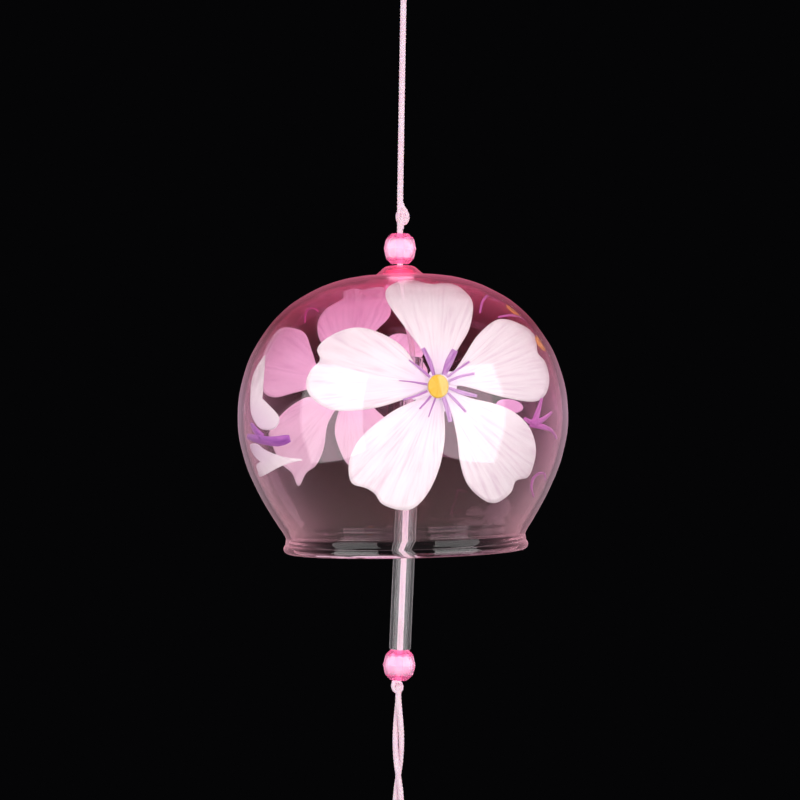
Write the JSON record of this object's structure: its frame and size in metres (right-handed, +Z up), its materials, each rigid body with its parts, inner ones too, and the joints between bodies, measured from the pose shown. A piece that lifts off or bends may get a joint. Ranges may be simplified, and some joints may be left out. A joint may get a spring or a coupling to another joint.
{
  "type": "glass wind bell",
  "caption": "Blown glass wind bell with painted blossoms on a braided cord, glass tube clapper, faceted beads and a paper wind strip.",
  "frame": {"origin": "inside top of the hang loop, where the hook touches it", "axes": "+Z up along the cord, the painted front faces -Y, +X to the right seen from the front"},
  "size_m": [0.0804, 0.0804, 0.3204],
  "materials": {
    "cord": "braided nylon cord, soft sheen",
    "bead_clear": "clear pink acrylic, faceted and polished",
    "bead_core": "pale pink opaque acrylic",
    "bell_glass": "blown glass, pink lacquer fading to clear, blossoms painted inside",
    "tube_glass": "clear drawn glass, fire-polished ends",
    "paper": "uncoated fibrous card"
  },
  "bodies": {
    "hanger": {"hang_loop": "cord", "loop_knot": "cord"},
    "cord": {"upper_cord": "cord", "upper_knot": "cord", "crown_cord": "cord", "stopper_knot": "cord"},
    "top_bead": {"top_bead": "bead_clear", "top_bead_core": "bead_core"},
    "stopper": {"stopper_bead": "bead_clear", "stopper_bead_core": "bead_core"},
    "bell": {"bell_glass": "bell_glass"},
    "clapper": {"clapper_cord": "cord", "lower_knot": "cord"},
    "lower_bead": {"lower_bead": "bead_clear", "lower_bead_core": "bead_core"},
    "tube": {"clapper_tube": "tube_glass"},
    "tail": {"tail_strand_1": "cord", "tail_strand_2": "cord", "strip_knot": "cord"},
    "strip_loop": {"strip_loop": "cord"},
    "strip": {"paper_strip": "paper"}
  },
  "joints": [
    {"name": "cord_swing", "type": "hinge", "parent": "hanger", "child": "cord", "pos_m": [0, 0, -0.02026], "axis": [0, 1, 0], "range_deg": [-30, 30]},
    {"name": "top_bead_turn", "type": "hinge", "parent": "cord", "child": "top_bead", "pos_m": [-0.0009, 0, -0.08415], "axis": [0, 0, 1], "continuous": true},
    {"name": "bell_turn", "type": "hinge", "parent": "cord", "child": "stopper", "pos_m": [-0.0009, 0, -0.0937], "axis": [0, 0, 1], "continuous": true},
    {"name": "bell_rock", "type": "hinge", "parent": "stopper", "child": "bell", "pos_m": [-0.0009, 0, -0.0937], "axis": [1, 0, 0], "range_deg": [-7, 7]},
    {"name": "clapper_swing", "type": "hinge", "parent": "cord", "child": "clapper", "pos_m": [-0.0004, 0, -0.09889], "axis": [0, 1, 0], "range_deg": [-19, 19]},
    {"name": "lower_bead_turn", "type": "hinge", "parent": "clapper", "child": "lower_bead", "pos_m": [-0.00109, 0, -0.18556], "axis": [0.0436, 0, 0.999], "continuous": true},
    {"name": "tube_lift", "type": "slide", "parent": "lower_bead", "child": "tube", "axis": [0.0436, 0, 0.999], "range_m": [0, 0.003]},
    {"name": "tail_swing", "type": "hinge", "parent": "clapper", "child": "tail", "pos_m": [-0.0013, 0, -0.1906], "axis": [1, 0, 0], "range_deg": [-60, 60]},
    {"name": "strip_turn", "type": "hinge", "parent": "tail", "child": "strip_loop", "pos_m": [-0.0013, 0, -0.22212], "axis": [0, 0, 1], "continuous": true},
    {"name": "strip_rock", "type": "hinge", "parent": "strip_loop", "child": "strip", "pos_m": [-0.0013, 0, -0.23162], "axis": [0, 1, 0], "range_deg": [-20, 20]}
  ]
}
